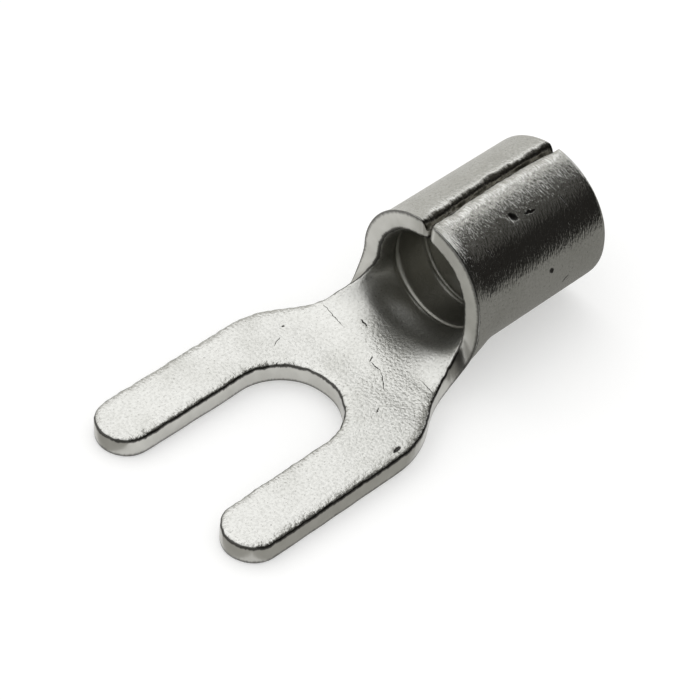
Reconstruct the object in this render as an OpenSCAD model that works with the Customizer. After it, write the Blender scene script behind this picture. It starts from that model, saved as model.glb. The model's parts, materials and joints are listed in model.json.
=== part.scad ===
// Bare fork terminal: one copper sheet, stamped to an outline and rolled into a wire barrel.
// The origin is the centre of the stud slot's round bottom, on the underside of the tongue.
// X runs along the terminal from the prong tips to the wire mouth, and Z points up.

/* [Sheet] */
// Thickness of the sheet
sheet_t = 0.85; // [0.6:0.05:1.1]

/* [Fork] */
// Width of the open slot, a loose fit on the stud
slot_w = 4.3; // [3.2:0.1:5.3]
// Depth of the slot, from the prong tips to its round bottom
slot_l = 7.8; // [6:0.1:11]
// Width of each prong
prong_w = 2.3; // [1.6:0.1:3]

/* [Neck] */
// Distance from the bottom of the slot to the front edge of the barrel
neck_l = 4.55; // [3.8:0.05:7]
// How far ahead of the slot's bottom the outer edge begins to turn in
shoulder_lead = 0.7; // [0:0.1:1.5]
// Radius of the shoulder
shoulder_r = 3.5; // [1:0.1:5]
// Width of the blank at the waist
waist_w = 5.8; // [4.6:0.1:6.6]
// Radius of the hollow that leads to the waist
waist_r = 3; // [1:0.1:4]
// Length of the waist, from its narrowest point to the front edge of the barrel
waist_l = 0.95; // [0.6:0.05:1.5]
// Radius of the corner between the waist and the front edge of the barrel
wing_r = 0.8; // [0.3:0.05:1.2]
// How far ahead of the barrel the sheet begins to curl up
curl_l = 2.6; // [1.8:0.1:3.4]
// How far into the barrel the trough still opens out
flare_l = 1.4; // [0.6:0.1:2]
// Half width of the sheet that follows the trough all the way
trough_w = 2.5; // [1.6:0.1:2.8]
// Half width past which the wings are already round at the front edge of the barrel
wing_w = 3.9; // [3.2:0.1:4.2]
// How far ahead of the barrel the trough begins to sink
sink_lead = 1.3; // [0.6:0.1:2]
// Length over which it sinks
sink_l = 1.6; // [0.8:0.1:2.4]

/* [Barrel] */
// Inside diameter of the barrel, for the wire
wire_d = 4.2; // [3.2:0.1:5.4]
// Length of the barrel
barrel_l = 6.85; // [5.5:0.05:10]
// How far the underside of the barrel lies below the underside of the tongue
barrel_drop = 0.3; // [0:0.05:0.6]
// Radius of the outer edge at the rear of the barrel
rear_r = 0.2; // [0.05:0.05:0.4]

/* [Seam] */
// Width of the groove between the two lips
seam_w = 0.92; // [0.7:0.02:1.2]
// Depth of the groove
seam_depth = 0.3; // [0.2:0.02:0.44]
// Radius of the steep lip
lip_r = 0.3; // [0.1:0.05:0.35]
// Hairline between the butted edges
seam_gap = 0.04; // [0.02:0.01:0.1]
// Radius of the sheet's corners at the front of the seam
corner_r = 0.35; // [0.1:0.05:0.5]

/* [Grip grooves] */
// Number of grooves round the inside of the barrel
groove_count = 3; // [1:1:4]
// Distance from the front edge of the barrel to the first groove
groove_first = 0.9; // [0.6:0.05:1.2]
// Distance from one groove to the next
groove_pitch = 1.45; // [1:0.05:1.5]
// Width of a groove
groove_w = 0.2; // [0.1:0.01:0.4]
// Depth of a groove
groove_d = 0.1; // [0.05:0.01:0.2]

/* [Hidden] */
$fn = 96;
// Overshoot of a cut past the face that it opens
cut = 0.5;
// The neck is faceted. Its ends run this far into the tongue and into the barrel's wall ...
lap = 0.25;
// ... and lie this far under their faces, which stay true.
inset = 0.01;
// Facets across the neck, along it, round its corner with the barrel, and along the flare
across = 32;
along = 14;
round_corner = 7;
along_flare = 9;
// Steps along each arc of the flat outline
arc_steps = 12;

slot_r = slot_w / 2;
tip_r = prong_w / 2;
tip_x = slot_r - slot_l;
fork_half = slot_r + prong_w;
waist_half = waist_w / 2;
bore_r = wire_d / 2;
barrel_r = bore_r + sheet_t;
mid_r = bore_r + sheet_t / 2;
barrel_x = slot_r + neck_l;
barrel_z = barrel_r - barrel_drop;
curl_x = barrel_x - curl_l;
flare_x = barrel_x + flare_l;
sink_x = barrel_x - sink_lead;
shoulder_x = slot_r - shoulder_lead;
waist_x = barrel_x - waist_l;
corner_x = barrel_x - min(wing_r, waist_l);
side_r = barrel_x - corner_x;

// The side of the blank from the shoulder to the waist: two arcs and the straight that touches both.
// The arcs shrink together where the side is too steep for their full radius.
side_dx = waist_x - shoulder_x;
side_dy = fork_half - waist_half;
side_fit = min(1, (side_dx ^ 2 + side_dy ^ 2) / (2 * side_dy * (shoulder_r + waist_r)));
outer_r = shoulder_r * side_fit;
inner_r = waist_r * side_fit;
both_r = outer_r + inner_r;
straight = sqrt(max(0, side_dx ^ 2 + side_dy ^ 2 - 2 * both_r * side_dy));
taper = atan2(both_r, straight) - atan2(both_r - side_dy, side_dx);

// Ends of the two arcs along X
outer_end_x = shoulder_x + outer_r * sin(taper);
inner_start_x = waist_x - inner_r * sin(taper);

// Half the width of the flat blank at x
function blank_half(x) =
    x <= shoulder_x ? fork_half
    : x <= outer_end_x ? fork_half - outer_r + sqrt(outer_r ^ 2 - (x - shoulder_x) ^ 2)
    : x <= inner_start_x ? blank_half(outer_end_x) - (x - outer_end_x) * tan(taper)
    : x <= waist_x ? waist_half + inner_r - sqrt(inner_r ^ 2 - (waist_x - x) ^ 2)
    : x <= corner_x ? waist_half
    : waist_half + side_r - sqrt(max(0, side_r ^ 2 - (min(x, barrel_x) - corner_x) ^ 2));

// Smooth step from 0 at a to 1 at b
function step(a, b, x) = let (t = min(1, max(0, (x - a) / (b - a)))) t ^ 2 * (3 - 2 * t);
// Curvature of the sheet's middle surface across the trough at x
function curl(x) = max(1e-6, step(curl_x, flare_x, x)) / mid_r;
// Height of the middle surface on the centre line
function trough_z(x) = sheet_t / 2 - barrel_drop * step(sink_x, sink_x + sink_l, x);
// Share of the trough's shape at x and s. The rest is the round of the barrel, which the wings take first.
function trough_share(x, s) = 1 - step(trough_w, wing_w, abs(s)) * step(waist_x, barrel_x, x);
// Place across a sheet of curvature k: s along its middle surface, up from it
function on_arc(k, s, up) = let (turn = s * k * 180 / PI, r = 1 / k - up) [r * sin(turn), 1 / k - r * cos(turn)];
// Point of the curled sheet
function on_sheet(x, s, up) =
    let (round = on_arc(1 / mid_r, s, up), open = on_arc(curl(x), s, up))
    let (p = round + trough_share(x, s) * (open - round))
    [x, p[0], trough_z(x) + p[1]];

// Depth of the grip grooves at x
function groove_cut(x) = max([for (i = [0:groove_count - 1])
    let (off = abs(x - barrel_x - groove_first - i * groove_pitch))
    groove_d * min(1, max(0, (5 / 8 * groove_w - off) / (3 / 8 * groove_w)))]);

// Edges of the grip grooves, at the bore and at their bottoms
groove_x = [for (i = [0:groove_count - 1], k = [-5 / 8, -1 / 4, 1 / 4, 5 / 8])
    barrel_x + groove_first + i * groove_pitch + k * groove_w];

// Stations along the flare, with the edges of the grip grooves between them
function flare_station(i) =
    i > along_flare ? flare_x + lap : barrel_x + inset + (flare_l - 3 * inset) * i / along_flare;
flare_stations = [for (i = [0:along_flare])
    each concat([flare_station(i)], [for (x = groove_x) if (x > flare_station(i) && x < flare_station(i + 1)) x])];

// Stations along the neck, closer together round its corner with the barrel
neck_x = concat(
    [curl_x - lap],
    [for (i = [0:along]) curl_x + (corner_x - curl_x) * i / along],
    [for (i = [1:round_corner]) corner_x + side_r * sin(90 * i / round_corner)],
    flare_stations,
    [flare_x + lap]
);

// Half the width of the neck at x. Past the front edge of the barrel it laps into the barrel's wall.
function neck_half(x) = x > barrel_x ? max(wing_w, blank_half(x)) + lap : blank_half(x) - inset;

// Upper and lower surface of the sheet at one station, from one side to the other
function neck_row(x, side) =
    let (half = neck_half(x), up = side * sheet_t / 2 - side * inset - (side > 0 ? groove_cut(x) : 0))
    [for (j = [0:across]) on_sheet(x, half * (2 * j / across - 1), up)];

// Two triangles for the quad a b c d, seen clockwise from outside
function quad(a, b, c, d) = [[a, b, c], [a, c, d]];

// The trough from the tongue into the barrel, skinned over its stations
module neck() {
    rows = len(neck_x);
    row = across + 1;
    points = concat(
        [for (x = neck_x) each neck_row(x, 1)],
        [for (x = neck_x) each neck_row(x, -1)]
    );
    under = rows * row;
    faces = concat(
        [for (i = [0:rows - 2], j = [0:across - 1])
            let (a = i * row + j)
            each quad(a, a + 1, a + row + 1, a + row)],
        [for (i = [0:rows - 2], j = [0:across - 1])
            let (a = under + i * row + j)
            each quad(a, a + row, a + row + 1, a + 1)],
        [for (i = [0:rows - 2])
            let (a = i * row)
            each quad(a, a + row, under + a + row, under + a)],
        [for (i = [0:rows - 2])
            let (a = i * row + across)
            each quad(a, under + a, under + a + row, a + row)],
        [for (j = [0:across - 1])
            each quad(j, under + j, under + j + 1, j + 1)],
        [for (j = [0:across - 1])
            let (a = (rows - 1) * row + j)
            each quad(a, a + 1, under + a + 1, under + a)]
    );
    polyhedron(points, faces);
}

// Flat outline of the fork and the shoulders, up to where the curl begins
module tongue_outline() {
    stations = concat(
        [tip_x + tip_r],
        [for (i = [0:arc_steps]) shoulder_x + (outer_end_x - shoulder_x) * i / arc_steps],
        [for (i = [0:arc_steps]) inner_start_x + (waist_x - inner_start_x) * i / arc_steps]
    );
    flat = concat([for (x = stations) if (x < curl_x) x], [curl_x]);
    ends = len(flat) - 1;
    difference() {
        union() {
            polygon(concat(
                [for (x = flat) [x, blank_half(x)]],
                [for (i = [ends:-1:0]) [flat[i], -blank_half(flat[i])]]
            ));
            for (side = [-1, 1])
                translate([tip_x + tip_r, side * (slot_r + tip_r)]) circle(tip_r);
        }
        circle(slot_r);
        translate([tip_x - cut, -slot_r]) square([cut - tip_x, slot_w]);
    }
}

// Groove along the seam, across the barrel, with Y up from the barrel's axis:
// one lip rolls gently down to the bottom of the groove and the other drops steeply
module seam_section() {
    lip_x = seam_w / 2;
    lip_y = sqrt(barrel_r ^ 2 - lip_x ^ 2);
    valley = lip_y - seam_depth;
    roll_r = (lip_x ^ 2 + seam_depth ^ 2) / (2 * seam_depth);
    difference() {
        translate([-lip_x, valley]) square([seam_w, seam_depth + cut]);
        translate([-lip_x, lip_y - roll_r]) circle(roll_r);
        translate([lip_x, lip_y - lip_r]) circle(lip_r);
        translate([lip_x - lip_r, valley - cut]) square([lip_r + cut, cut + max(0, seam_depth - lip_r)]);
    }
}

// The two rounded corners of the sheet that meet at the front of the seam, seen from above
module seam_corners() {
    for (side = [-1, 1])
        scale([1, side])
            difference() {
                translate([-cut, -seam_gap]) square([cut + corner_r, seam_gap + corner_r]);
                translate([corner_r, corner_r]) circle(corner_r);
                translate([corner_r, 0]) square(corner_r);
            }
}

// Ring cut for one grip groove, tapering towards its bottom
module groove_section() {
    polygon([
        [bore_r - groove_d, -groove_w],
        [bore_r + groove_d, -groove_w / 4],
        [bore_r + groove_d, groove_w / 4],
        [bore_r - groove_d, groove_w]
    ]);
}

// Ring cut that rounds the outer edge at the rear of the barrel
module rear_section() {
    translate([barrel_r - rear_r, barrel_l - rear_r])
        difference() {
            square(rear_r + cut);
            circle(rear_r);
        }
}

// Sector across the barrel where the flare of the trough takes the place of its wall
module flare_section() {
    reach = barrel_r + cut;
    half = wing_w / mid_r * 180 / PI;
    polygon(concat([[0, 0]], [for (i = [-arc_steps:arc_steps])
        let (a = half * i / arc_steps) reach * [sin(a), -cos(a)]]));
}

// The rolled barrel, with its axis on Z and its seam towards +Y
module barrel() {
    difference() {
        cylinder(r = barrel_r, h = barrel_l);
        translate([0, 0, -cut]) cylinder(r = bore_r, h = barrel_l + 2 * cut);
        translate([0, 0, -cut]) linear_extrude(cut + flare_l) flare_section();
        rotate_extrude() rear_section();
        for (i = [0:groove_count - 1])
            translate([0, 0, groove_first + i * groove_pitch])
                rotate_extrude() groove_section();
        translate([0, 0, -cut])
            linear_extrude(barrel_l + 2 * cut) {
                seam_section();
                translate([-seam_gap / 2, 0]) square([seam_gap, barrel_r]);
            }
        rotate([-90, -90, 0]) linear_extrude(barrel_r + cut) seam_corners();
    }
}

module terminal() {
    color("silver") {
        linear_extrude(sheet_t) tongue_outline();
        neck();
        translate([barrel_x, 0, barrel_z]) rotate([90, 0, 90]) barrel();
    }
}

terminal();
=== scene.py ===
"""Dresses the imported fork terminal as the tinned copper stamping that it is, on a plain pale stage.

The terminal is one sheet. It is laid out flat as the blank that the press cuts, gets its thickness, its worn
edges and its seam lips there, and is then rolled to the shape of the solid. Lengths in the making are
millimetres, and the finished piece is in metres.
"""

import functools
import json
import math

import bmesh
import bpy
import numpy as np
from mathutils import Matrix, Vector, noise
from mathutils.kdtree import KDTree


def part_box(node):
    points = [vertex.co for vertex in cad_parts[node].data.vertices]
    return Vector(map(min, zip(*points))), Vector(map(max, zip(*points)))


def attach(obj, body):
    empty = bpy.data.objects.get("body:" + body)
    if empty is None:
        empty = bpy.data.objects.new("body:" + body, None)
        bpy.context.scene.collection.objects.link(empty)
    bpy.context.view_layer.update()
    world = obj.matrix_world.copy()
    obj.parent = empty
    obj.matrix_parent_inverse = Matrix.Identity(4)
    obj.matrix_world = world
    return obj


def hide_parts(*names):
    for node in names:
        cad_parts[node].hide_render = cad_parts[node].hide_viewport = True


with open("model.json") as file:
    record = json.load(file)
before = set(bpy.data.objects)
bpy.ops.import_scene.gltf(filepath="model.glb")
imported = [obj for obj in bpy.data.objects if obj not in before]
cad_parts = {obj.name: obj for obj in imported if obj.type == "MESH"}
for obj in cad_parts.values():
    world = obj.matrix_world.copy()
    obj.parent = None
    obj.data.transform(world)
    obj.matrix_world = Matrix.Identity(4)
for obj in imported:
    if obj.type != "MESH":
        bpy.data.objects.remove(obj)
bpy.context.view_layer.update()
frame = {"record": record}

bl_info = {
    "name": "Fork terminal",
    "version": (1, 0, 0),
    "blender": (4, 5, 0),
    "location": "View3D > Sidebar > Fork terminal",
    "description": "Models a bare fork terminal as a stamped and rolled sheet, with its finish and its stage",
    "category": "Object",
}

MM = 0.001
NODE = "terminal"
MOUNTS = {mount["name"]: mount for mount in frame["record"]["mounts"]}
STUD_SLOT = MOUNTS["stud_slot"]
WIRE_BARREL = MOUNTS["wire_barrel"]
NODE_LOW, NODE_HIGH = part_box(NODE)

# Cells of the blank
PRONG_CELLS = 22  # along a prong
SHOULDER_CELLS = 18  # along a shoulder
NECK_CELLS = 36  # across the neck
BAND_CELLS = 14  # across a prong
TIP_CELLS = 18  # round a tip
NECK_ROWS = 13  # along the neck
CORNER_ROWS = 4  # round the neck's corner
WING_CELLS = 26  # across each wing of the barrel, up to its lip
LIP_CELLS = 8  # across a lip
FRONT_ROWS = 5  # from the barrel's front edge to its first even row
OUTLINE_PARTS = 6  # points on each edge of the outline

# Lengths of the making in millimetres
FRONT_RUN = 0.5  # from the barrel's front edge to its first even row
LIP_LEAD = 0.1  # from the last even cell of a wing to its lip
BARREL_STEP = 0.16  # between the barrel's rows
MERGE = 0.002  # corners closer than this are one

# A grip groove's half width at its top and at its floor, as shares of its width
GROOVE_TOP = 0.625
GROOVE_FLOOR = 0.25
# The share of the barrel's curvature that stands for flat
FLAT_CURL = 1e-6
# The vector noise starts from the clock unless it has a seed
NOISE_SEED = 5

# Marks that the photograph shows, in millimetres on the flat blank: middle along and across, length, width,
# bearing in degrees, depth, and whether the mark is on the top of the tongue or on the outside of the barrel
MARKS = [
    dict(zip(("x", "s", "long", "wide", "turn", "depth", "top"), values)) for values in (
        (9.76, -6.58, 0.42, 0.30, 40, 0.05, False),
        (10.50, -6.44, 0.60, 0.12, 8, 0.01, False),
        (10.54, -4.39, 0.26, 0.18, 20, 0.04, False),
        (11.38, -3.62, 0.40, 0.10, -35, 0.02, False),
        (8.05, -6.10, 0.36, 0.07, 80, 0.0, False),
        (12.05, -6.20, 0.42, 0.06, 75, 0.0, False),
        (5.08, 1.13, 0.50, 0.07, 82, 0.01, True),
        (4.05, -0.30, 0.30, 0.05, 28, 0.01, True),
        (3.91, -0.69, 0.60, 0.04, 86, 0.01, True),
        (3.58, -1.40, 0.90, 0.035, 53, 0.0, True),
        (2.46, -2.29, 0.26, 0.05, 30, 0.01, True),
        (2.82, 3.04, 0.16, 0.10, 0, 0.01, True),
        (4.53, -2.70, 1.05, 0.03, 82, 0.0, True),
        (4.53, 2.16, 1.50, 0.03, 80, 0.0, True),
        (2.10, 2.60, 0.55, 0.035, 20, 0.0, True),
        (1.63, -4.10, 0.45, 0.16, 10, 0.03, True),
        (5.50, -2.90, 0.22, 0.16, 0, -0.06, True),
    )
]


def to_linear(code):
    """Turns an sRGB hex colour into the linear values that Blender's sockets take."""
    shares = [int(code[i:i + 2], 16) / 255 for i in (0, 2, 4)]
    return [c / 12.92 if c <= 0.04045 else ((c + 0.055) / 1.055) ** 2.4 for c in shares]


def length(name, description, mm):
    """A length in the sidebar, given here in millimetres."""
    return bpy.props.FloatProperty(
        name=name, description=description, default=mm * MM, min=0, unit="LENGTH", precision=6
    )


def colour(name, description, code):
    """A colour in the sidebar, given here as sRGB hex."""
    return bpy.props.FloatVectorProperty(
        name=name, description=description, default=to_linear(code), min=0, max=1, size=3, subtype="COLOR"
    )


def share(name, description, value):
    """A plain number from 0 to 1 in the sidebar."""
    return bpy.props.FloatProperty(
        name=name, description=description, default=value, min=0, max=1, subtype="FACTOR"
    )


class TerminalSizes(bpy.types.PropertyGroup):
    """Sizes of the sheet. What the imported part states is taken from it."""

    sheet: length(
        "Sheet", "Thickness of the sheet",
        (MOUNTS["head_face"]["pos_m"][2] - MOUNTS["seat"]["pos_m"][2]) / MM,
    )
    slot_radius: length("Slot radius", "Radius of the round bottom of the slot", STUD_SLOT["dims"]["r_mm"])
    fork_half: length("Half width", "Half the width over both prongs", NODE_HIGH.y / MM)
    tip_reach: length("Tip reach", "From the slot's centre to the prong tips", -NODE_LOW.x / MM)
    bore_radius: length("Bore radius", "Inside radius of the barrel", WIRE_BARREL["dims"]["r_mm"])
    barrel_length: length("Barrel length", "Length of the barrel", WIRE_BARREL["dims"]["length_mm"])
    barrel_start: length(
        "Barrel start", "From the slot's centre to the front edge of the barrel",
        WIRE_BARREL["pos_m"][0] / MM - WIRE_BARREL["dims"]["length_mm"] / 2,
    )
    barrel_height: length("Barrel height", "Height of the barrel's axis", WIRE_BARREL["pos_m"][2] / MM)
    shoulder_start: length("Shoulder start", "Where the outer edge begins to turn in", 1.45)
    shoulder_radius: length("Shoulder radius", "Radius of the shoulder", 3.5)
    waist_half: length("Waist half", "Half the width of the blank at the waist", 2.9)
    waist_radius: length("Waist radius", "Radius of the hollow that leads to the waist", 3.0)
    waist_length: length("Waist length", "From the narrowest point to the front edge of the barrel", 0.95)
    wing_radius: length("Wing radius", "Radius of the corner between the waist and the barrel", 0.8)
    curl_length: length("Curl length", "How far ahead of the barrel the sheet begins to curl up", 2.35)
    flare_length: length("Flare length", "How far into the barrel the trough still opens out", 1.4)
    trough_half: length("Trough half", "Half width of the sheet that follows the trough all the way", 2.5)
    wing_half: length("Wing half", "Half width past which the wings are already round at the barrel", 3.9)
    sink_lead: length("Sink lead", "How far ahead of the barrel the trough begins to sink", 1.0)
    sink_length: length("Sink length", "Length over which the trough sinks", 1.7)
    crown: length("Crown", "How far the sheet stands up at the neck before it sinks into the trough", 0.14)
    crown_lead: length("Crown lead", "How far ahead of the sink the crown is highest", 0.2)
    rear_radius: length("Rear radius", "Radius of the outer edge at the rear of the barrel", 0.2)
    seam_width: length("Seam width", "Width of the groove between the lips", 0.92)
    seam_depth: length("Seam depth", "Depth of the groove between the lips", 0.3)
    lip_radius: length("Lip radius", "Radius of the steep lip", 0.3)
    seam_gap: length("Seam gap", "Hairline between the butted edges", 0.04)
    corner_radius: length("Corner radius", "Radius of the sheet's corners at the front of the seam", 0.35)
    groove_count: bpy.props.IntProperty(
        name="Grooves", description="Grip grooves in the barrel", default=3, min=1, max=4
    )
    groove_first: length("First groove", "From the front edge of the barrel to the first groove", 0.9)
    groove_pitch: length("Groove pitch", "From one groove to the next", 1.45)
    groove_width: length("Groove width", "Width of a groove", 0.15)
    groove_depth: length("Groove depth", "Depth of a groove", 0.07)


class TerminalFinish(bpy.types.PropertyGroup):
    """Worn edges and the tinned surface."""

    top_round: length("Top edge", "Rounding of the edges on the punch side", 0.11)
    under_round: length("Under edge", "Rounding of the edges on the die side", 0.06)
    roll_width: length("Die roll width", "How far in from an edge the punch pulled the surface down", 0.42)
    roll_drop: length("Die roll drop", "How far the punch pulled the surface down at the edge", 0.045)
    wobble: length("Wobble", "How far the outline strays from true", 0.02)
    ragged: length("Ragged", "How far the punched edge is torn in and out", 0.035)
    seam_wander: length("Seam wander", "How far the joint of the seam strays to one side", 0.1)
    seam_ragged: length("Seam ragged", "How far the crests of the seam's lips are torn to and fro", 0.17)
    tin: colour("Tin", "Satin tin on the rolled faces", "D4D4D0")
    dull_tin: colour("Dull tin", "Tin where it is worn and handled", "C9C9C4")
    speck_tin: colour("Speck tin", "Grey specks in the tin", "8E8D88")
    # A darker tone for the inside of the barrel
    inner_tin: colour("Inner tin", "Thin dull tin inside the barrel", "A5A49D")
    edge_tin: colour("Edge tin", "Tin on the sheared edges", "CFCEC9")
    edge_dull: colour("Edge dull", "Sheared edges where the tin is thin", "AFAEA8")
    # Dark tone for dirt in the pits, and for painted shade: a dark reflection along the punched edges, a
    # shadow along the foot of the sheared edges and a dark reflection along their brow
    mark_dirt: colour("Mark dirt", "Dirt in the pits and along the edges", "23221F")
    # Painted shade on the steep flank of the seam
    seam_dirt: colour("Seam dirt", "Dirt on the steep flank of the seam", "858279")
    gloss: share("Roughness", "Roughness of the satin tin on the tongue", 0.18)
    drawn_gloss: share("Drawn roughness", "Roughness of the drawn tin on the outside of the barrel", 0.17)
    neck_gloss: share("Neck roughness", "Roughness of the dull tin in the neck and inside the barrel", 0.38)
    edge_gloss: share("Edge roughness", "Roughness of the sheared edges", 0.32)


class TerminalStage(bpy.types.PropertyGroup):
    """Camera, light and floor."""

    camera_place: bpy.props.FloatVectorProperty(
        name="Camera", description="Place of the camera", subtype="TRANSLATION", unit="LENGTH", precision=6,
        default=(-49.646 * MM, -48.623 * MM, 72.626 * MM),
    )
    camera_turn: bpy.props.FloatVectorProperty(
        name="Camera turn", description="Rotation of the camera", subtype="EULER", unit="ROTATION",
        default=(math.radians(45.2432), math.radians(-3.3342), math.radians(-44.0966)),
    )
    camera_lens: bpy.props.FloatProperty(
        name="Lens", description="Focal length in millimetres on a 36 mm sensor", default=144.627, min=1
    )
    floor_colour: colour("Floor", "White paper floor", "F8F8F7")
    world_light: bpy.props.FloatProperty(
        name="World light", description="Strength of the white room's light", default=0.92, min=0
    )
    lamp_power: bpy.props.FloatProperty(
        name="Lamp power", description="Power of the soft lamp", default=0.18, min=0, unit="POWER"
    )


def settings():
    """The three groups of settings on the scene."""
    scene = bpy.context.scene
    return scene.terminal_sizes, scene.terminal_finish, scene.terminal_stage


def smooth_step(low, high, value):
    """0 up to low and 1 from high on, with a smooth rise between."""
    t = np.clip((value - low) / (high - low), 0, 1)
    return t ** 2 * (3 - 2 * t)


def on_arc(curl, s, up):
    """Place across a sheet of one curvature: s along its middle surface, up from it. The half angle keeps
    the precision where the sheet is almost flat."""
    turn = s * curl
    across = np.sin(turn) / curl - up * np.sin(turn)
    rise = 2 * np.sin(turn / 2) ** 2 / curl + up * np.cos(turn)
    return np.array([across, rise])


class Blank:
    """The flat blank and how it is rolled, in millimetres: x along, s across the sheet, z up through it."""

    def __init__(self, sizes):
        for name in sizes.__annotations__:
            value = getattr(sizes, name)
            setattr(self, name, value if name == "groove_count" else value / MM)
        self.tip_radius = (self.fork_half - self.slot_radius) / 2
        self.tip_x = self.tip_radius - self.tip_reach
        self.barrel_radius = self.bore_radius + self.sheet
        self.mid_radius = self.bore_radius + self.sheet / 2
        self.barrel_drop = self.barrel_radius - self.barrel_height
        self.barrel_end = self.barrel_start + self.barrel_length
        self.curl_start = self.barrel_start - self.curl_length
        self.flare_end = self.barrel_start + self.flare_length
        self.sink_start = self.barrel_start - self.sink_lead
        self.waist_x = self.barrel_start - self.waist_length
        self.corner_x = self.barrel_start - self.wing_radius
        self.seam_s = math.pi * self.mid_radius - self.seam_gap / 2
        self.lip_half = self.seam_width / 2
        self.lip_turn = math.asin(self.lip_half / self.barrel_radius)
        self.lip_s = (math.pi - self.lip_turn) * self.mid_radius
        self.roll_radius = (self.lip_half ** 2 + self.seam_depth ** 2) / (2 * self.seam_depth)
        first_groove = self.barrel_start + self.groove_first
        self.groove_middles = [first_groove + i * self.groove_pitch for i in range(self.groove_count)]
        # Two arcs and the straight that touches both make the side from the shoulder to the waist
        run = self.waist_x - self.shoulder_start
        fall = self.fork_half - self.waist_half
        both = self.shoulder_radius + self.waist_radius
        straight = math.sqrt(run ** 2 + fall ** 2 - 2 * both * fall)
        self.taper = math.atan2(both, straight) - math.atan2(both - fall, run)
        self.shoulder_end = self.shoulder_start + self.shoulder_radius * math.sin(self.taper)
        self.hollow_start = self.waist_x - self.waist_radius * math.sin(self.taper)

    def half_width(self, x):
        """Half the width of the blank at x, from the shoulder to the middle of the corner at the barrel."""
        if x <= self.shoulder_start:
            return self.fork_half
        if x <= self.shoulder_end:
            drop = math.sqrt(self.shoulder_radius ** 2 - (x - self.shoulder_start) ** 2)
            return self.fork_half - self.shoulder_radius + drop
        if x <= self.hollow_start:
            return self.half_width(self.shoulder_end) - (x - self.shoulder_end) * math.tan(self.taper)
        if x <= self.waist_x:
            hollow = math.sqrt(self.waist_radius ** 2 - (self.waist_x - x) ** 2)
            return self.waist_half + self.waist_radius - hollow
        if x <= self.corner_x:
            return self.waist_half
        corner = math.sqrt(self.wing_radius ** 2 - (x - self.corner_x) ** 2)
        return self.waist_half + self.wing_radius - corner

    def wing_front(self, s):
        """Where the front edge of the barrel's wing lies at s, with its two rounded corners."""
        inner = self.waist_half + self.wing_radius
        outer = self.seam_s - self.corner_radius
        if abs(s) < inner:
            return self.corner_x + math.sqrt(self.wing_radius ** 2 - (inner - abs(s)) ** 2)
        if abs(s) > outer:
            reach = min(self.corner_radius, abs(s) - outer)
            return self.barrel_start + self.corner_radius - math.sqrt(self.corner_radius ** 2 - reach ** 2)
        return self.barrel_start

    def from_joint(self, s):
        """How far a place on the outside of the barrel lies from the joint of the seam."""
        turn = math.pi - abs(s) / self.mid_radius
        return self.barrel_radius * math.sin(min(turn, math.pi / 2))

    def seam_cut(self, x, s):
        """How deep the outside is cut away beside the joint: one lip drops steeply and the other rolls down
        gently. The press left it deeper at both ends of the barrel and a little uneven between them."""
        away = self.from_joint(s)
        if away >= self.lip_half:
            return 0.0
        radius, depth, noise_row = (self.lip_radius, 1.0, 4.0) if s > 0 else (self.roll_radius, 0.4, 9.0)
        reach = min(radius, self.lip_half - away)
        fall = radius - math.sqrt(radius ** 2 - reach ** 2)
        crest = math.sqrt(self.barrel_radius ** 2 - self.lip_half ** 2)
        flat = math.sqrt(self.barrel_radius ** 2 - away ** 2) - crest
        rear_end = 0.7 * math.exp((x - self.barrel_end) / 0.4)
        front_end = 0.5 * math.exp((self.barrel_start - x) / 0.3)
        waves = 0.3 * noise.noise(Vector((x * 1.3, noise_row, 0)))
        ripples = 0.2 * noise.noise(Vector((x * 3.7, noise_row, away * 2)))
        return flat + fall * (depth + rear_end + front_end + waves + ripples)

    def rear_cut(self, x):
        """How far the rear edge of the barrel is rounded away on the outside at x."""
        past = x - self.barrel_end + self.rear_radius
        if past <= 0:
            return 0.0
        return self.rear_radius - math.sqrt(max(0, self.rear_radius ** 2 - past ** 2))

    def in_seam(self, x, s, z):
        """1 on the cut flank of the steep lip, falling to 0 at its crest: the mask of the seam's painted
        shade.
        """
        on_inside = z > self.sheet - 0.1
        if x < self.barrel_start - MERGE or on_inside or s < 0:
            return 0.0
        crest, fade = 0.9, 0.25
        return min(1.0, max(0.0, (crest - self.from_joint(s) / self.lip_half) / fade))

    def groove_cut(self, x):
        """How deep the grip grooves are at x on the inside of the barrel."""
        deepest = 0.0
        for middle in self.groove_middles:
            off = abs(x - middle) / self.groove_width
            slope = (GROOVE_TOP - off) / (GROOVE_TOP - GROOVE_FLOOR)
            deepest = max(deepest, self.groove_depth * min(1, max(0, slope)))
        return deepest

    def groove_rows(self):
        """Rows of the blank at the edges and floors of the grip grooves."""
        shares = (-GROOVE_TOP, -GROOVE_FLOOR, GROOVE_FLOOR, GROOVE_TOP)
        return [middle + self.groove_width * share for middle in self.groove_middles for share in shares]

    def rolled(self, places):
        """Rolls flat places to the shape of the terminal. The wings are round before the trough is."""
        x, s, z = places.T
        up = z - self.sheet / 2
        sink_end = self.sink_start + self.sink_length
        crest = self.sink_start - self.crown_lead
        crown = smooth_step(crest - self.curl_length, crest, x) - smooth_step(crest, sink_end, x)
        sink = smooth_step(self.sink_start, sink_end, x)
        middle = self.sheet / 2 + self.crown * crown - self.barrel_drop * sink
        curl = np.maximum(FLAT_CURL, smooth_step(self.curl_start, self.flare_end, x)) / self.mid_radius
        on_wing = smooth_step(self.trough_half, self.wing_half, abs(s))
        wing = on_wing * smooth_step(self.waist_x, self.barrel_start, x)
        trough = on_arc(curl, s, up)
        barrel = on_arc(1 / self.mid_radius, s, up)
        across, rise = trough + wing * (barrel - trough)
        return np.stack([x, across, middle + rise], 1)


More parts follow.
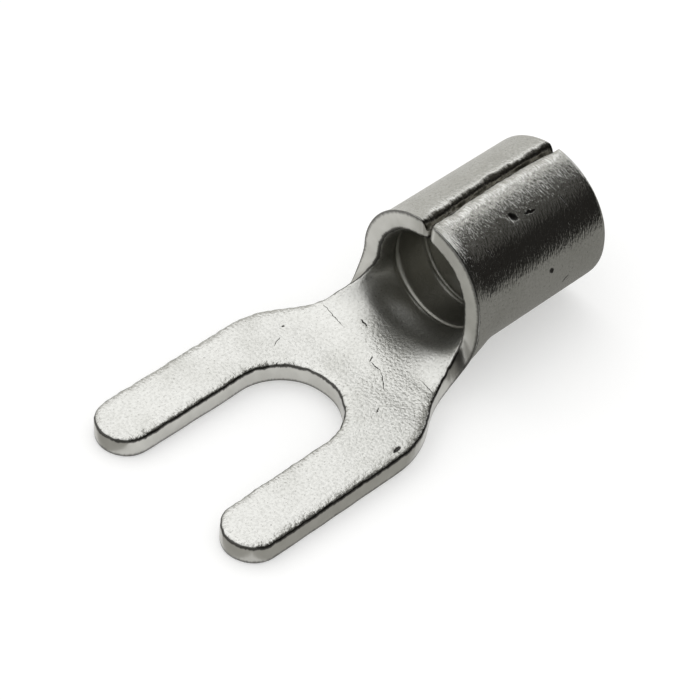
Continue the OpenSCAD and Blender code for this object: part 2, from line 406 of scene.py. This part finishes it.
def deselect():
    """Leaves object mode with nothing selected and nothing active."""
    if bpy.context.object and bpy.context.object.mode != "OBJECT":
        bpy.ops.object.mode_set(mode="OBJECT")
    bpy.ops.object.select_all(action="DESELECT")
    bpy.context.view_layer.objects.active = None


def activate(piece):
    """Makes one object the selected and active one."""
    deselect()
    piece.select_set(True)
    bpy.context.view_layer.objects.active = piece


def edit(piece, chosen_vertex=None, chosen_edge=None):
    """Goes into edit mode on a piece with the vertices or edges that pass a test selected."""
    activate(piece)
    bpy.ops.object.mode_set(mode="EDIT")
    bpy.context.tool_settings.mesh_select_mode = (chosen_edge is None, chosen_edge is not None, False)
    bpy.ops.mesh.select_all(action="DESELECT")
    mesh = bmesh.from_edit_mesh(piece.data)
    if chosen_vertex:
        for vertex in mesh.verts:
            vertex.select = chosen_vertex(vertex)
    if chosen_edge:
        for edge in mesh.edges:
            if chosen_edge(edge):
                edge.select_set(True)
    mesh.select_flush_mode()
    bmesh.update_edit_mesh(piece.data)


def places_of(piece):
    """The piece's vertices as an array."""
    places = np.zeros(len(piece.data.vertices) * 3)
    piece.data.vertices.foreach_get("co", places)
    return places.reshape(-1, 3)


def put_places(piece, places):
    """Moves the piece's vertices to an array's places."""
    piece.data.vertices.foreach_set("co", np.asarray(places, float).ravel())
    piece.data.update()


def laid_grid(name, columns, rows, place):
    """Adds a grid of cells and lays its corner i along and j across where place(i, j) says."""
    deselect()
    bpy.ops.mesh.primitive_grid_add(x_subdivisions=columns, y_subdivisions=rows, size=1)
    piece = bpy.context.object
    piece.name = name
    flat = places_of(piece)
    if len(flat) != (columns + 1) * (rows + 1):
        raise RuntimeError(f"{name}: the grid has {len(flat)} corners")
    steps = np.rint((flat[:, :2] + 0.5) * (columns, rows)).astype(int)
    put_places(piece, [(*place(i, j), 0) for i, j in steps])
    return piece


def finer_to_edges(step, count):
    """Spreads steps from -1 to 1 with the cells at both ends a little narrower."""
    squeeze = 0.08
    t = 2 * step / count - 1
    return (1 + squeeze) * t - squeeze * t ** 3


def fork_band(blank):
    """The fork, a band that runs down one prong, round the slot and up the other prong, with round tips."""
    around = SHOULDER_CELLS * 2 + NECK_CELLS
    last = around + 2 * PRONG_CELLS
    join_half = blank.half_width(blank.curl_start)

    def sides(i):
        if i > last // 2:
            slot, outer = sides(last - i)
            return (slot[0], -slot[1]), (outer[0], -outer[1])
        if i <= PRONG_CELLS:
            x = blank.tip_x * (1 - i / PRONG_CELLS)
            return (x, blank.slot_radius), (x, blank.fork_half)
        step = i - PRONG_CELLS
        turn = math.pi * (0.5 - step / around)
        slot = blank.slot_radius * math.cos(turn), blank.slot_radius * math.sin(turn)
        if step <= SHOULDER_CELLS:
            x = blank.curl_start * step / SHOULDER_CELLS
            return slot, (x, blank.half_width(x))
        return slot, (blank.curl_start, -join_half * finer_to_edges(step - SHOULDER_CELLS, NECK_CELLS))

    def place(i, j):
        slot, outer = sides(i)
        across = (1 + finer_to_edges(j, BAND_CELLS)) / 2
        return [a + (b - a) * across for a, b in zip(slot, outer)]

    band = laid_grid("fork_band", last, BAND_CELLS, place)
    middle = blank.slot_radius + blank.tip_radius

    def on_end(vertex, side):
        return abs(vertex.co.x - blank.tip_x) < MERGE and vertex.co.y * side > middle - MERGE

    for side in (1, -1):
        edit(band, chosen_vertex=functools.partial(on_end, side=side))
        bpy.ops.mesh.spin(
            steps=TIP_CELLS, angle=side * math.pi, center=(blank.tip_x, side * middle, 0), axis=(0, 0, -1)
        )
    bpy.ops.object.mode_set(mode="OBJECT")
    return band


def neck_strip(blank):
    """The neck, from the fork to half way round its corner with the barrel."""
    run = blank.corner_x - blank.curl_start
    turns = [math.radians(45) * i / CORNER_ROWS for i in range(CORNER_ROWS + 1)]
    rows = [blank.curl_start + run * i / NECK_ROWS for i in range(NECK_ROWS)]
    rows += [blank.corner_x + blank.wing_radius * math.sin(turn) for turn in turns]

    def place(i, j):
        return rows[i], blank.half_width(rows[i]) * finer_to_edges(j, NECK_CELLS)

    return laid_grid("neck_strip", len(rows) - 1, NECK_CELLS, place), rows[-1]


def barrel_sheet(blank, start):
    """The sheet that is rolled to the barrel, wider than the neck by a wing on each side."""
    inner = blank.half_width(start)
    run = blank.lip_s - LIP_LEAD - inner
    lip = blank.seam_s - blank.lip_s
    wing = [inner + run * (i / WING_CELLS) for i in range(1, WING_CELLS + 1)]
    wing += [blank.lip_s + lip * i / LIP_CELLS for i in range(LIP_CELLS + 1)]
    middle = [inner * finer_to_edges(j, NECK_CELLS) for j in range(NECK_CELLS + 1)]
    columns = [-s for s in reversed(wing)] + middle + wing
    even = blank.barrel_start + FRONT_RUN
    rows = [even]
    rear = [blank.barrel_end - blank.rear_radius * k for k in (1, 0.6, 0.3, 0.1, 0)]
    for stop in [*blank.groove_rows(), *rear]:
        cells = max(1, round((stop - rows[-1]) / BARREL_STEP))
        begin = rows[-1]
        rows += [begin + (stop - begin) * k / cells for k in range(1, cells + 1)]

    def place(i, j):
        s = columns[j]
        if i >= FRONT_ROWS:
            return rows[i - FRONT_ROWS], s
        front = start if abs(s) <= inner + MERGE else blank.wing_front(s)
        return front + (even - front) * i / FRONT_ROWS, s

    return laid_grid("barrel_sheet", len(rows) - 1 + FRONT_ROWS, len(columns) - 1, place)


def stamped_blank(blank):
    """The whole blank, one flat sheet with no thickness yet and its face up."""
    band = fork_band(blank)
    neck, neck_end = neck_strip(blank)
    barrel = barrel_sheet(blank, neck_end)
    activate(band)
    neck.select_set(True)
    barrel.select_set(True)
    bpy.ops.object.join()
    piece = bpy.context.object
    bpy.ops.object.mode_set(mode="EDIT")
    bpy.ops.mesh.select_all(action="SELECT")
    bpy.ops.mesh.remove_doubles(threshold=MERGE)
    bpy.ops.mesh.normals_make_consistent(inside=False)
    if bmesh.from_edit_mesh(piece.data).faces[:][0].normal.z < 0:
        bpy.ops.mesh.flip_normals()
    bpy.ops.object.mode_set(mode="OBJECT")
    return piece


def outline_of(piece):
    """Points close together round the blank's outline, with how far along it each one lies."""
    mesh = bmesh.new()
    mesh.from_mesh(piece.data)
    rim = [edge for edge in mesh.edges if edge.is_boundary]
    edge = rim[0]
    vertex = edge.verts[0]
    points, run = [], 0.0
    for _ in rim:
        far = edge.other_vert(vertex)
        span = (far.co - vertex.co).length
        for k in range(OUTLINE_PARTS):
            way = k / OUTLINE_PARTS
            points.append((vertex.co.lerp(far.co, way), run + span * way))
        run += span
        edge = next(e for e in far.link_edges if e.is_boundary and e != edge)
        vertex = far
    mesh.free()
    return points


def thickened(piece, blank, finish):
    """Gives the blank its thickness, cuts its lips, presses its grooves and rounds its edges."""
    activate(piece)
    solid = piece.modifiers.new("sheet", "SOLIDIFY")
    solid.thickness = blank.sheet
    solid.offset = 1
    solid.material_offset_rim = 1
    bpy.ops.object.modifier_apply(modifier=solid.name)
    places = places_of(piece)
    for place in places:
        x, s, z = place
        if x < blank.barrel_start - MERGE:
            continue
        if z < MERGE:
            place[2] = max(blank.seam_cut(x, s), blank.rear_cut(x))
        else:
            place[2] -= blank.groove_cut(x)
    put_places(piece, places)

    def shell_side(edge):
        """1 on the punch side's outline, -1 on the die side's, 0 elsewhere."""
        faces = sorted(edge.link_faces, key=lambda face: face.material_index)
        if [face.material_index for face in faces] != [0, 1]:
            return 0
        return 1 if faces[0].normal.z > 0 else -1

    for side, offset in ((1, finish.top_round), (-1, finish.under_round)):
        edit(piece, chosen_edge=lambda edge: shell_side(edge) == side)
        bpy.ops.mesh.bevel(offset=offset / MM, segments=3, affect="EDGES")
    bpy.ops.mesh.select_all(action="SELECT")
    bpy.ops.mesh.normals_make_consistent(inside=False)
    bpy.ops.object.mode_set(mode="OBJECT")
    smooth = piece.modifiers.new("smooth", "SUBSURF")
    smooth.levels = 1
    smooth.render_levels = 1
    bpy.ops.object.modifier_apply(modifier=smooth.name)


def worn(places, rim, blank, finish):
    """Pulls the punch side's edges down as the die does, lets the outline and the seam stray, and presses the
    pits. The factors on places are waves to the millimetre."""
    width, drop = finish.roll_width / MM, finish.roll_drop / MM
    wobble, ragged = finish.wobble / MM, finish.ragged / MM
    wander, seam_ragged = finish.seam_wander / MM, finish.seam_ragged / MM
    wing_tip = 7.0
    crest_from, crest_to = blank.lip_s - 0.3, blank.lip_s + 0.08
    noise.seed_set(NOISE_SEED)
    moved = places.copy()
    for k, (x, s, z) in enumerate(places.tolist()):
        along, inward = rim[k]
        up = min(1, z / blank.sheet)
        edge = max(0, 1 - inward / width)
        here = Vector((x, s, 0))
        if edge > 0:
            torn = noise.noise(Vector((along * 4.2, up * 1.5, 3.0)))
            moved[k, 2] -= drop * edge ** 2 * up * (1 + 0.8 * torn)
            tear = ragged * up * edge ** 3 * (1 if x < blank.waist_x else 0.3)
            stray = wobble * noise.noise_vector(here * 1.1) + tear * noise.noise_vector(here * 4.5)
            moved[k, 0] += edge * stray.x
            moved[k, 1] += edge * stray.y
        if x > blank.barrel_start - MERGE:
            # The joint strays to one side in the middle of the barrel and to the other at its front
            t = (x - blank.barrel_start) / blank.barrel_length
            stray = wander * (math.sin(math.pi * t) - 0.5 * (1 - t) ** 2)
            moved[k, 1] -= stray * float(smooth_step(blank.wing_half, wing_tip, abs(s)))
            # The crest of each lip lies a little way from the joint, which itself stays closed
            rise = smooth_step(crest_from, blank.lip_s, abs(s))
            crest = float(rise - smooth_step(crest_to, blank.seam_s, abs(s)))
            if crest > 0:
                lip = math.copysign(6.0, s)
                waves = noise.noise(Vector((x * 1.3, lip, 0)))
                ripples = 0.45 * noise.noise(Vector((x * 5.3, lip, 2.0)))
                moved[k, 1] += seam_ragged * crest * (waves + ripples)
    on_top = places[:, 2] > blank.sheet / 2
    for mark in MARKS:
        turn = math.radians(mark["turn"])
        x, s = places[:, 0] - mark["x"], places[:, 1] - mark["s"]
        along = (x * math.cos(turn) + s * math.sin(turn)) / (mark["long"] / 2)
        across = (s * math.cos(turn) - x * math.sin(turn)) / (mark["wide"] / 2)
        sunk = mark["depth"] * np.exp(-along ** 2 - across ** 2)
        moved[:, 2] += np.where(on_top, -sunk, 0) if mark["top"] else np.where(on_top, 0, sunk)
    return moved


def give_vectors(piece, name, values):
    """Stores a vector for each vertex, for the materials to read."""
    attribute = piece.data.attributes.new(name, "FLOAT_VECTOR", "POINT")
    attribute.data.foreach_set("vector", np.asarray(values, np.float32).ravel())


def add(tree, kind, inputs=None, out=0, **fields):
    """Adds a node with its fields, sets each input or links it where another node's output is given, and
    gives one of its own outputs."""
    made = tree.nodes.new(kind)
    for field, value in fields.items():
        setattr(made, field, value)
    for socket, value in (inputs or {}).items():
        if isinstance(value, bpy.types.NodeSocket):
            tree.links.new(value, made.inputs[socket])
        else:
            made.inputs[socket].default_value = value
    return made.outputs[out]


def new_material(name):
    """An empty node material and its output."""
    material = bpy.data.materials.new(name)
    material.use_nodes = True
    material.node_tree.nodes.clear()
    return material, material.node_tree, material.node_tree.nodes.new("ShaderNodeOutputMaterial")


def rolled_tin(finish, blank):
    """Tin plated on rolled copper sheet and dulled by handling: a satin silver with a fine leathery grain,
    pulled into wrinkles along the punched edges, drawn into streaks round the barrel, dull inside it, and
    pitted here and there. Painted shade darkens the steep flank of the seam, and a painted dark reflection
    runs in a ragged line along the punched edges."""
    material, tree, output = new_material("tin_plate_rolled")
    node = functools.partial(add, tree)
    flat = node("ShaderNodeAttribute", out="Vector", attribute_name="blank")
    rim = node("ShaderNodeAttribute", out="Vector", attribute_name="rim")
    seam = node("ShaderNodeAttribute", out="Fac", attribute_name="seam")
    along, _, up = node("ShaderNodeSeparateXYZ", {"Vector": flat}).node.outputs
    inward = node("ShaderNodeSeparateXYZ", {"Vector": rim}, out="Y")
    front = blank.barrel_start * MM

    # Where each finish shows: streaks on the outside from the neck on, dull tin in the trough and inside the
    # barrel, wrinkles within about 0.4 mm of an edge
    on_top = node("ShaderNodeMapRange", {0: up, 1: 0.25 * MM, 2: 0.6 * MM})
    below = node("ShaderNodeMath", {0: 1, 1: on_top}, operation="SUBTRACT")
    from_neck = node("ShaderNodeMapRange", {0: along, 1: front - 0.8 * MM, 2: front + 0.5 * MM})
    outside = node("ShaderNodeMath", {0: from_neck, 1: below}, operation="MULTIPLY")
    from_front = node("ShaderNodeMapRange", {0: along, 1: front - 0.2 * MM, 2: front + 0.9 * MM})
    inside = node("ShaderNodeMath", {0: from_front, 1: on_top}, operation="MULTIPLY")
    from_tongue = node("ShaderNodeMapRange", {0: along, 1: front - 2.5 * MM, 2: front - 0.9 * MM})
    trough = node("ShaderNodeMath", {0: from_tongue, 1: on_top}, operation="MULTIPLY")
    by_edge = node("ShaderNodeMapRange", {0: inward, 1: 0.05 * MM, 2: 0.42 * MM, 3: 1, 4: 0})
    at_edge = node("ShaderNodeMath", {0: by_edge, 1: on_top}, operation="MULTIPLY")

    # Leathery grain about 0.12 mm across, stronger in patches about 1.5 mm across
    patch = node("ShaderNodeTexNoise", {"Vector": flat, "Scale": 1 / (1.5 * MM), "Detail": 3})
    tight = node("ShaderNodeMapRange", {0: patch, 1: 0.35, 2: 0.65, 3: 0.4, 4: 1})
    eased = node("ShaderNodeMapRange", {0: outside, 3: 1, 4: 0.5})
    patchy = node("ShaderNodeMath", {0: tight, 1: eased}, operation="MULTIPLY")
    leather = node("ShaderNodeTexNoise", {"Vector": flat, "Scale": 1 / (0.12 * MM), "Detail": 2})
    # Drawing streaks 0.065 mm wide and 0.2 mm long, round the barrel
    streak_scale = (1 / (0.065 * MM), 1 / (0.2 * MM), 1 / MM)
    drawn = node("ShaderNodeMapping", {"Vector": flat, "Scale": streak_scale})
    streak = node("ShaderNodeTexNoise", {"Vector": drawn, "Scale": 1, "Detail": 2})
    # Wrinkles 0.12 mm wide and 0.17 mm long, square to the nearest edge
    wrinkle_scale = (1 / (0.12 * MM), 1 / (0.17 * MM), 1 / MM)
    pulled = node("ShaderNodeMapping", {"Vector": rim, "Scale": wrinkle_scale})
    wrinkle = node("ShaderNodeTexNoise", {"Vector": pulled, "Scale": 1, "Detail": 2})
    # Each pattern swings about nothing where it shows, and bumps what the ones before it left
    bumped = {}
    for pattern, shown, depth in (
        (leather, patchy, 0.015 * MM), (streak, outside, 0.024 * MM), (wrinkle, at_edge, 0.032 * MM)
    ):
        swing = node("ShaderNodeMath", {0: pattern, 1: 0.5}, operation="SUBTRACT")
        height = node("ShaderNodeMath", {0: swing, 1: shown}, operation="MULTIPLY")
        bumped["Normal"] = node(
            "ShaderNodeBump", {"Height": height, "Strength": 1, "Distance": depth, **bumped}
        )

    # Pits and scratches with ragged outlines
    warp = node("ShaderNodeTexNoise", {"Vector": flat, "Scale": 1 / (0.14 * MM), "Detail": 3}, out="Color")
    shift = node("ShaderNodeVectorMath", {0: warp, 1: (0.5, 0.5, 0.5)}, operation="SUBTRACT")
    torn = node(
        "ShaderNodeVectorMath", {0: shift, 1: (0.12 * MM, 0.12 * MM, 0), 2: flat}, operation="MULTIPLY_ADD"
    )
    marked = 0.0
    for mark in MARKS:
        spot = node(
            "ShaderNodeMapping",
            {
                "Vector": torn,
                "Location": (mark["x"] * MM, mark["s"] * MM, blank.sheet * MM if mark["top"] else 0),
                "Rotation": (0, 0, math.radians(mark["turn"])),
                "Scale": (mark["long"] / 2 * MM, mark["wide"] / 2 * MM, 0.4 * MM),
            },
            vector_type="TEXTURE",
        )
        ball = node("ShaderNodeTexGradient", {"Vector": spot}, out="Fac", gradient_type="SPHERICAL")
        marked = node("ShaderNodeMath", {0: marked, 1: ball}, operation="MAXIMUM")
    sunk = node("ShaderNodeMapRange", {0: marked, 1: 0, 2: 0.6, 3: 1, 4: 0})
    normal = node("ShaderNodeBump", {"Height": sunk, "Strength": 1, "Distance": 0.012 * MM, **bumped})

    # Handling leaves dull clouds, the grain shows as a faint change of tone, and the plating left grey
    # specks, more of them towards the edges
    cloud = node("ShaderNodeTexNoise", {"Vector": flat, "Scale": 1 / (1.6 * MM), "Detail": 4})
    dull = node("ShaderNodeMapRange", {0: cloud, 1: 0.45, 2: 0.75})
    grained = node("ShaderNodeMapRange", {0: leather, 1: 0.42, 2: 0.64, 3: 0, 4: 0.15})
    grit = node("ShaderNodeTexNoise", {"Vector": flat, "Scale": 1 / (0.085 * MM), "Detail": 2})
    specks = node("ShaderNodeMath", {0: at_edge, 1: 0.07, 2: grit}, operation="MULTIPLY_ADD")
    specked = node("ShaderNodeMapRange", {0: specks, 1: 0.6, 2: 0.78, 3: 0, 4: 0.85})
    # The pits hold dirt. Painted shade darkens the steep flank of the seam, streaked along the drawing
    # streaks, and a ragged dark line along the punched edges is a painted dark reflection of their rounding,
    # fainter on the barrel
    streaked = node("ShaderNodeMapRange", {0: streak, 1: 0.3, 2: 0.55, 3: 0.6, 4: 1})
    seam_shade = node("ShaderNodeMath", {0: seam, 1: streaked}, operation="MULTIPLY")
    pitted = node("ShaderNodeMapRange", {0: marked, 1: 0, 2: 0.3, 3: 0, 4: 0.95})
    edge_line_noise = node(
        "ShaderNodeTexNoise", {"Vector": rim, "Scale": 1 / (0.4 * MM), "Detail": 4, "Roughness": 0.65}
    )
    jagged = node("ShaderNodeMath", {0: edge_line_noise, 1: 0.2 * MM, 2: inward}, operation="MULTIPLY_ADD")
    edge_dark_reflection = node("ShaderNodeMapRange", {0: jagged, 1: 0.145 * MM, 2: 0.17 * MM, 3: 0.95, 4: 0})
    less_on_barrel = node("ShaderNodeMapRange", {0: from_neck, 3: 1, 4: 0.45})
    painted_edge_line = node("ShaderNodeMath", {0: edge_dark_reflection, 1: less_on_barrel}, operation="MULTIPLY")
    tone = (*finish.tin, 1)
    # Layers of tone over the tin: the seam's dark layer and the edges' dark line are painted shade, the pits'
    # layer is dirt
    for cover, layer in (
        (dull, finish.dull_tin), (grained, finish.speck_tin), (specked, finish.speck_tin),
        (inside, finish.inner_tin), (seam_shade, finish.seam_dirt), (pitted, finish.mark_dirt),
        (painted_edge_line, finish.mark_dirt),
    ):
        tone = node("ShaderNodeMix", {0: cover, 6: tone, 7: (*layer, 1)}, out=2, data_type="RGBA")

    # The tongue is satin, the barrel's outside was polished by the die, and the trough and the bore are dull
    dullest = finish.gloss + 0.08
    satin = node("ShaderNodeMapRange", {0: leather, 1: 0.3, 2: 0.7, 3: finish.gloss, 4: dullest})
    gloss = node("ShaderNodeMix", {0: outside, 2: satin, 3: finish.drawn_gloss})
    gloss = node("ShaderNodeMix", {0: trough, 2: gloss, 3: finish.neck_gloss})
    shader = node(
        "ShaderNodeBsdfPrincipled",
        {"Base Color": tone, "Metallic": 1, "Roughness": gloss, "Normal": normal},
    )
    tree.links.new(shader, output.inputs[0])
    return material


def sheared_tin(finish, blank):
    """Tin over the copper's sheared edge: duller and greyer than the faces, with faint lines down the cut, a
    painted shadow along its foot and a painted dark reflection along its brow."""
    material, tree, output = new_material("tin_plate_sheared")
    node = functools.partial(add, tree)
    flat = node("ShaderNodeAttribute", out="Vector", attribute_name="blank")
    up = node("ShaderNodeSeparateXYZ", {"Vector": flat}, out="Z")
    brow_height = blank.sheet * MM - 0.09 * MM
    # Shear lines 0.09 mm apart that run through the thickness
    line_scale = (1 / (0.09 * MM), 1 / (0.09 * MM), 1 / (1.2 * MM))
    cut = node("ShaderNodeMapping", {"Vector": flat, "Scale": line_scale})
    lines = node("ShaderNodeTexNoise", {"Vector": cut, "Scale": 1, "Detail": 2})
    bump = node("ShaderNodeBump", {"Height": lines, "Strength": 0.5, "Distance": 0.012 * MM})
    cloud = node("ShaderNodeTexNoise", {"Vector": flat, "Scale": 1 / (0.7 * MM), "Detail": 3})
    # Painted shade, ragged with the shear lines: a contact shadow along the foot of the cut and a dark
    # reflection of the rounded edge along its brow
    jagged = node("ShaderNodeMath", {0: lines, 1: 0.12 * MM, 2: up}, operation="MULTIPLY_ADD")
    foot = node("ShaderNodeMapRange", {0: jagged, 1: 0.13 * MM, 2: 0.24 * MM, 3: 0.75, 4: 0})
    brow = node(
        "ShaderNodeMapRange", {0: jagged, 1: brow_height, 2: brow_height + 0.06 * MM, 3: 0, 4: 0.85}
    )
    foot_and_brow_shade = node("ShaderNodeMath", {0: foot, 1: brow}, operation="MAXIMUM")
    tone = (*finish.edge_tin, 1)
    for cover, layer in ((cloud, finish.edge_dull), (foot_and_brow_shade, finish.mark_dirt)):
        tone = node("ShaderNodeMix", {0: cover, 6: tone, 7: (*layer, 1)}, out=2, data_type="RGBA")
    shader = node(
        "ShaderNodeBsdfPrincipled",
        {"Base Color": tone, "Metallic": 1, "Roughness": finish.edge_gloss, "Normal": bump},
    )
    tree.links.new(shader, output.inputs[0])
    return material


class FORK_OT_terminal(bpy.types.Operator):
    """Stamps, rolls and tins the terminal, and lets it stand for the solid"""

    bl_idname = "fork.terminal"
    bl_label = "Terminal"

    def execute(self, context):
        sizes, finish, _ = settings()
        blank = Blank(sizes)
        piece = stamped_blank(blank)
        piece.name = "tinned_terminal"
        piece.data.name = piece.name
        piece.data.materials.append(rolled_tin(finish, blank))
        piece.data.materials.append(sheared_tin(finish, blank))
        outline = outline_of(piece)
        thickened(piece, blank, finish)
        flat = places_of(piece)
        tree = KDTree(len(outline))
        for k, (point, _) in enumerate(outline):
            tree.insert(point, k)
        tree.balance()
        rim = []
        for x, s, _ in flat:
            _, k, away = tree.find((x, s, 0))
            rim.append((outline[k][1], away))
        give_vectors(piece, "blank", flat * MM)
        seam = piece.data.attributes.new("seam", "FLOAT", "POINT")
        seam.data.foreach_set("value", [blank.in_seam(*place) for place in flat])
        give_vectors(piece, "rim", [(along * MM, inward * MM, 0) for along, inward in rim])
        put_places(piece, blank.rolled(worn(flat, rim, blank, finish)) * MM)
        activate(piece)
        bpy.ops.object.shade_smooth()
        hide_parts(NODE)
        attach(piece, "root")
        return {"FINISHED"}


def card_material(name, code):
    """A plain card of one tone, which gives that tone to what mirrors it."""
    material, tree, output = new_material(name)
    shader = add(tree, "ShaderNodeEmission", {"Color": (*to_linear(code), 1), "Strength": 1})
    tree.links.new(shader, output.inputs[0])
    return material


def reflection_card(card, material):
    """Puts a card on the stage where only reflections see it."""
    card.data.materials.append(material)
    card.visible_camera = False
    card.visible_diffuse = False
    card.visible_shadow = False
    card.visible_transmission = False


def dome_card(name, material, bearings, heights, radius=0.2):
    """A card that is a patch of a dome round the part, between two bearings and two heights in degrees."""
    cells = 16

    def place(i, j):
        return (
            math.radians(bearings[0] + (bearings[1] - bearings[0]) * i / cells),
            math.radians(heights[0] + (heights[1] - heights[0]) * j / cells),
        )

    card = laid_grid(name, cells, cells, place)
    put_places(card, [
        (radius * math.cos(h) * math.cos(b), radius * math.cos(h) * math.sin(b), radius * math.sin(h))
        for b, h, _ in places_of(card)
    ])
    reflection_card(card, material)


def floor_card(name, material, along, across, floor):
    """A card that lies on the floor between two places along the part and two across it, in millimetres."""
    slope = math.tan(floor.rotation_euler.y)
    lift = 0.02 * MM

    def place(i, j):
        return along[i] * MM, across[j] * MM

    card = laid_grid(name, 1, 1, place)
    put_places(card, [(x, y, lift - (x - floor.location.x) * slope) for x, y, _ in places_of(card)])
    reflection_card(card, material)


def white_paper(stage):
    """White paper that the camera and the metal see part lit and part plain white near the part, so that its
    shadow stays, and plain white far from it. The lit part is lifted a little to make open paper white."""
    material, tree, output = new_material("white_paper")
    node = functools.partial(add, tree)
    path = node("ShaderNodeLightPath").node.outputs
    seen = node("ShaderNodeMath", {0: path["Is Camera Ray"], 1: path["Is Glossy Ray"]}, operation="MAXIMUM")
    seen = node("ShaderNodeMath", {0: seen, 1: path["Is Transmission Ray"]}, operation="MAXIMUM")
    ground = node("ShaderNodeTexCoord", out="Object")
    middle, reach = 9 * MM, 36 * MM
    spread = node(
        "ShaderNodeMapping", {"Vector": ground, "Location": (middle, 0, 0), "Scale": (reach, reach, 1)},
        vector_type="TEXTURE",
    )
    near = node("ShaderNodeTexGradient", {"Vector": spread}, out="Fac", gradient_type="SPHERICAL")
    plain = node("ShaderNodeMapRange", {0: near, 1: 0, 2: 0.6, 3: 1, 4: 0.2})
    share_seen = node("ShaderNodeMath", {0: seen, 1: plain}, operation="MULTIPLY")
    lifted = node("ShaderNodeMath", {0: seen, 1: 0.16}, operation="MULTIPLY")
    paper = node(
        "ShaderNodeBsdfPrincipled",
        {
            "Base Color": (*stage.floor_colour, 1), "Roughness": 0.9, "Specular IOR Level": 0.1,
            "Emission Color": (1, 1, 1, 1), "Emission Strength": lifted,
        },
    )
    white = node("ShaderNodeEmission", {"Color": (1, 1, 1, 1), "Strength": 1})
    tree.links.new(node("ShaderNodeMixShader", {0: share_seen, 1: paper, 2: white}), output.inputs[0])
    return material


class FORK_OT_stage(bpy.types.Operator):
    """Sets the floor, the light and the camera"""

    bl_idname = "fork.stage"
    bl_label = "Stage"

    def execute(self, context):
        sizes, _, stage = settings()
        blank = Blank(sizes)
        scene = context.scene
        scene.view_settings.view_transform = "Standard"

        # White paper, tilted so that the part lies on its prong tips and on the front of its barrel
        deselect()
        bpy.ops.mesh.primitive_circle_add(vertices=96, radius=1.5, fill_type="NGON")
        floor = context.object
        floor.name = "floor"
        reach = blank.barrel_start + blank.tip_reach
        floor.rotation_euler = (0, math.atan2(blank.barrel_drop, reach), 0)
        floor.location = (-blank.tip_reach * MM, 0, 0)
        floor.data.materials.append(white_paper(stage))

        # Cards that shape the reflections: dark ones on the right, and grey ones in front, low behind and on
        # the floor
        black = card_material("black_card", "292826")
        dark = card_material("dark_card", "5A5956")
        grey = card_material("grey_card", "D6D5D1")
        middle = card_material("middle_card", "B8B7B3")
        slate = card_material("slate_card", "8C8B87")
        dome_card("card_right", black, (-120, -6), (-1, 38))
        dome_card("card_right_high", dark, (-120, 6), (38, 76))
        dome_card("card_right_edge", middle, (6, 27), (42, 76))
        dome_card("card_front", slate, (-175, -130), (1, 30))
        dome_card("card_behind", grey, (15, 108), (-2, 32))
        far = 200
        tips = -blank.tip_reach - 0.033
        side = -blank.fork_half - 0.02
        floor_card("card_floor_front", middle, (-far, tips), (-24, far), floor)
        floor_card("card_floor_side", middle, (tips, 5), (-24, side), floor)
        floor_card("card_floor_right", slate, (7, far), (-24, -1.6), floor)
        floor_card("card_floor_far", black, (-far, far), (-far, -24), floor)
        floor_card("card_floor_rear", slate, (14.5, far), (-1.6, 4), floor)
        floor_card("card_floor_behind", grey, (5, far), (4, far), floor)

        # A white room that lights the part at a plain level
        world = bpy.data.worlds.new("white_room")
        scene.world = world
        world.use_nodes = True
        tree = world.node_tree
        tree.nodes.clear()
        output = tree.nodes.new("ShaderNodeOutputWorld")
        room = add(tree, "ShaderNodeBackground", {"Color": (1, 1, 1, 1), "Strength": stage.world_light})
        tree.links.new(room, output.inputs[0])

        # One wide soft lamp overhead, a little behind the part
        deselect()
        bpy.ops.object.light_add(type="AREA")
        lamp = context.object
        lamp.name = "soft_lamp"
        lamp.data.shape = "SQUARE"
        lamp.data.size = 0.36
        lamp.data.energy = stage.lamp_power
        bearing, height, away = math.radians(73), math.radians(60), 0.4
        level = math.cos(height)
        towards = Vector((level * math.cos(bearing), level * math.sin(bearing), math.sin(height)))
        lamp.location = towards * away
        lamp.rotation_euler = towards.to_track_quat("Z", "Y").to_euler()

        camera = bpy.data.objects.new("camera", bpy.data.cameras.new("camera"))
        scene.collection.objects.link(camera)
        camera.location = stage.camera_place
        camera.rotation_euler = stage.camera_turn
        camera.data.sensor_width = 36
        camera.data.lens = stage.camera_lens
        camera.data.clip_start = 0.005
        camera.data.clip_end = 10
        scene.camera = camera
        return {"FINISHED"}


class FORK_PT_panel(bpy.types.Panel):
    """Lists the terminal's settings and the steps that make it"""

    bl_label = "Fork terminal"
    bl_idname = "FORK_PT_panel"
    bl_space_type = "VIEW_3D"
    bl_region_type = "UI"
    bl_category = "Fork terminal"

    def draw(self, context):
        for step, group in ((FORK_OT_terminal, "sizes"), (None, "finish"), (FORK_OT_stage, "stage")):
            box = self.layout.box()
            values = getattr(context.scene, f"terminal_{group}")
            for name in values.__annotations__:
                box.prop(values, name)
            if step:
                box.operator(step.bl_idname)


CLASSES = (TerminalSizes, TerminalFinish, TerminalStage, FORK_OT_terminal, FORK_OT_stage, FORK_PT_panel)


def register():
    """Adds the classes and the scene's settings."""
    for made in CLASSES:
        bpy.utils.register_class(made)
    bpy.types.Scene.terminal_sizes = bpy.props.PointerProperty(type=TerminalSizes)
    bpy.types.Scene.terminal_finish = bpy.props.PointerProperty(type=TerminalFinish)
    bpy.types.Scene.terminal_stage = bpy.props.PointerProperty(type=TerminalStage)


def unregister():
    """Takes them away again."""
    del bpy.types.Scene.terminal_sizes
    del bpy.types.Scene.terminal_finish
    del bpy.types.Scene.terminal_stage
    for made in reversed(CLASSES):
        bpy.utils.unregister_class(made)


def main():
    """Makes the terminal and its stage."""
    register()
    bpy.ops.fork.stage()
    bpy.ops.fork.terminal()


if __name__ == "__main__":
    main()
